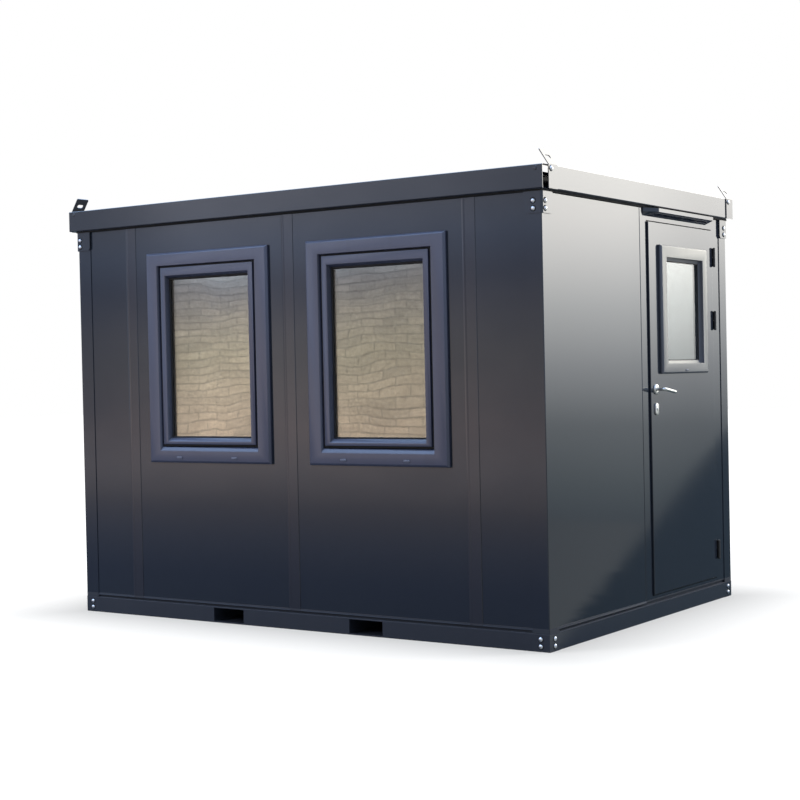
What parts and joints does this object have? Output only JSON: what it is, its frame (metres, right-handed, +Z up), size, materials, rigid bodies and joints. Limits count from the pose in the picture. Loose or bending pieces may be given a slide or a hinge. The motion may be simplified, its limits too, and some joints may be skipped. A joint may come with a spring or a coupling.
{
  "type": "garden office cabin",
  "caption": "Small flat-roofed garden office cabin of dark steel panels on a rail base, with windows along the front, a glazed door in one end, fork pockets and lifting lugs.",
  "frame": {"origin": "on the ground under the middle of the cabin", "axes": "+X along the front to the end with the door, -Y out of the windowed front, +Z up"},
  "size_m": [3.228, 2.304, 2.429],
  "materials": {
    "dark_paint": "gloss",
    "slate_plastic": "satin",
    "clear_glass": "polished",
    "black_metal": "satin",
    "satin_steel": "satin",
    "black_rubber": "matte",
    "floor_board": "matte"
  },
  "bodies": {
    "cabin": {"base_rail_front": "dark_paint", "base_rail_back": "dark_paint", "base_rail_left": "dark_paint", "base_rail_right": "dark_paint", "fork_pockets": "dark_paint", "floor_board": "floor_board", "base_seal": "dark_paint", "corner_post_front_left": "dark_paint", "corner_post_front_right": "dark_paint", "corner_post_back_left": "dark_paint", "corner_post_back_right": "dark_paint", "roof_brackets": "dark_paint", "front_panel_left_end": "dark_paint", "front_panel_left_window": "dark_paint", "front_panel_right_window": "dark_paint", "front_panel_right_end": "dark_paint", "back_panel_left_end": "dark_paint", "back_panel_left_middle": "dark_paint", "back_panel_right_middle": "dark_paint", "back_panel_right_end": "dark_paint", "left_panel_front": "dark_paint", "left_panel_back": "dark_paint", "right_panel": "dark_paint", "joint_strips": "dark_paint", "left_window_frame": "slate_plastic", "left_window_sash": "slate_plastic", "left_window_glass": "clear_glass", "right_window_frame": "slate_plastic", "right_window_sash": "slate_plastic", "right_window_glass": "clear_glass", "door_jamb_lock_side": "dark_paint", "door_jamb_hinge_side": "dark_paint", "door_head": "dark_paint", "door_sill": "dark_paint", "door_hood": "dark_paint", "hinge_pins": "black_metal", "roof_seal": "black_rubber", "roof_panel": "dark_paint", "roof_rail_front": "dark_paint", "roof_rail_back": "dark_paint", "roof_rail_left": "dark_paint", "roof_rail_right": "dark_paint", "lifting_lugs": "dark_paint"},
    "door": {"door_leaf": "dark_paint", "door_light_frame": "slate_plastic", "door_light_glass": "clear_glass", "hinge_sleeves": "black_metal", "handle_roses": "satin_steel"},
    "handle": {"lever_handle": "satin_steel"}
  },
  "joints": [
    {"name": "door_swing", "type": "hinge", "parent": "cabin", "child": "door", "pos_m": [1.571, 0.9035, 1.15], "axis": [0, 0, 1], "range_deg": [0, 165]},
    {"name": "handle_turn", "type": "hinge", "parent": "door", "child": "handle", "pos_m": [1.539, 0.11, 1.247], "axis": [-1, 0, 0], "range_deg": [0, 45], "stiffness_Nm_per_rad": 1.2}
  ]
}
